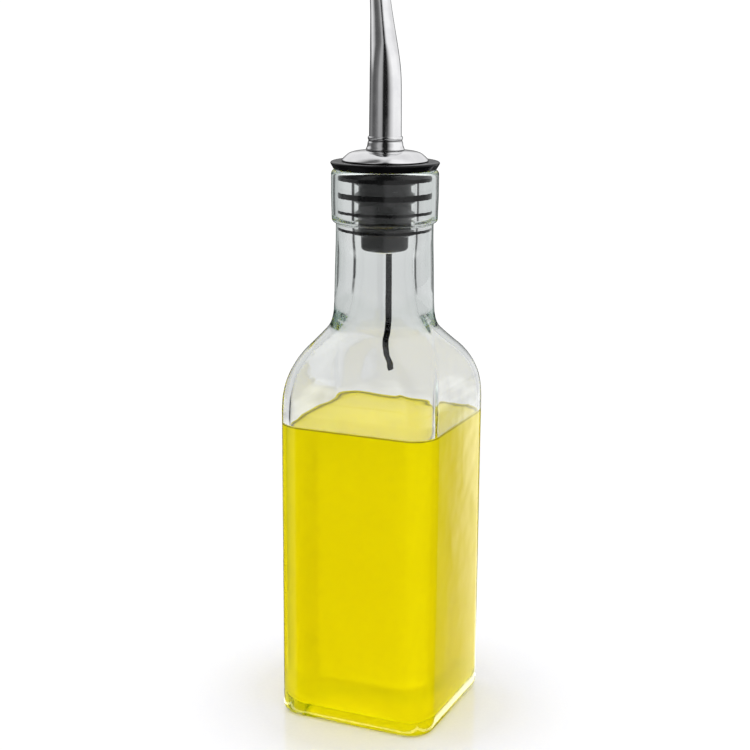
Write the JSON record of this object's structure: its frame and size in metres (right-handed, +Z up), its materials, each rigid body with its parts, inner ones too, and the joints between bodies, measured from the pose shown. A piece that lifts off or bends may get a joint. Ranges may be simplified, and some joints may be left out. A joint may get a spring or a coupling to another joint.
{
  "type": "glass oil bottle",
  "caption": "Square glass oil bottle with a round neck, part filled with oil, closed by a ribbed stopper that carries a bent steel pouring spout with an air tube.",
  "frame": {"origin": "centre of the plane the bottle stands on, on the neck's axis", "axes": "+Z up the neck; the flat sides of the glass face +X, -X, +Y and -Y; the spout leans towards 120.8 degrees from +X about +Z"},
  "size_m": [0.0508, 0.0508, 0.2307],
  "materials": {
    "clear_glass": "clear moulded soda-lime glass",
    "oil": "clear yellow liquid, wet surface",
    "stopper_rubber": "dark grey moulded elastomer, satin",
    "polished_steel": "polished stainless steel",
    "air_tube": "drawn steel tube, dark with oil film"
  },
  "bodies": {
    "bottle": {"glass_bottle": "clear_glass", "oil_fill": "oil"},
    "stopper": {"ribbed_stopper": "stopper_rubber"},
    "pourer": {"dome_cap": "polished_steel", "base_ferrule": "polished_steel", "spout_tube": "polished_steel", "throat_tube": "polished_steel", "breather_tube": "air_tube"}
  },
  "joints": [
    {"name": "stopper_pull", "type": "slide", "parent": "bottle", "child": "stopper", "axis": [0, 0, 1], "range_m": [0, 0.066]},
    {"name": "spout_turn", "type": "hinge", "parent": "stopper", "child": "pourer", "pos_m": [0, 0, 0.16], "axis": [0, 0, 1], "continuous": true}
  ]
}
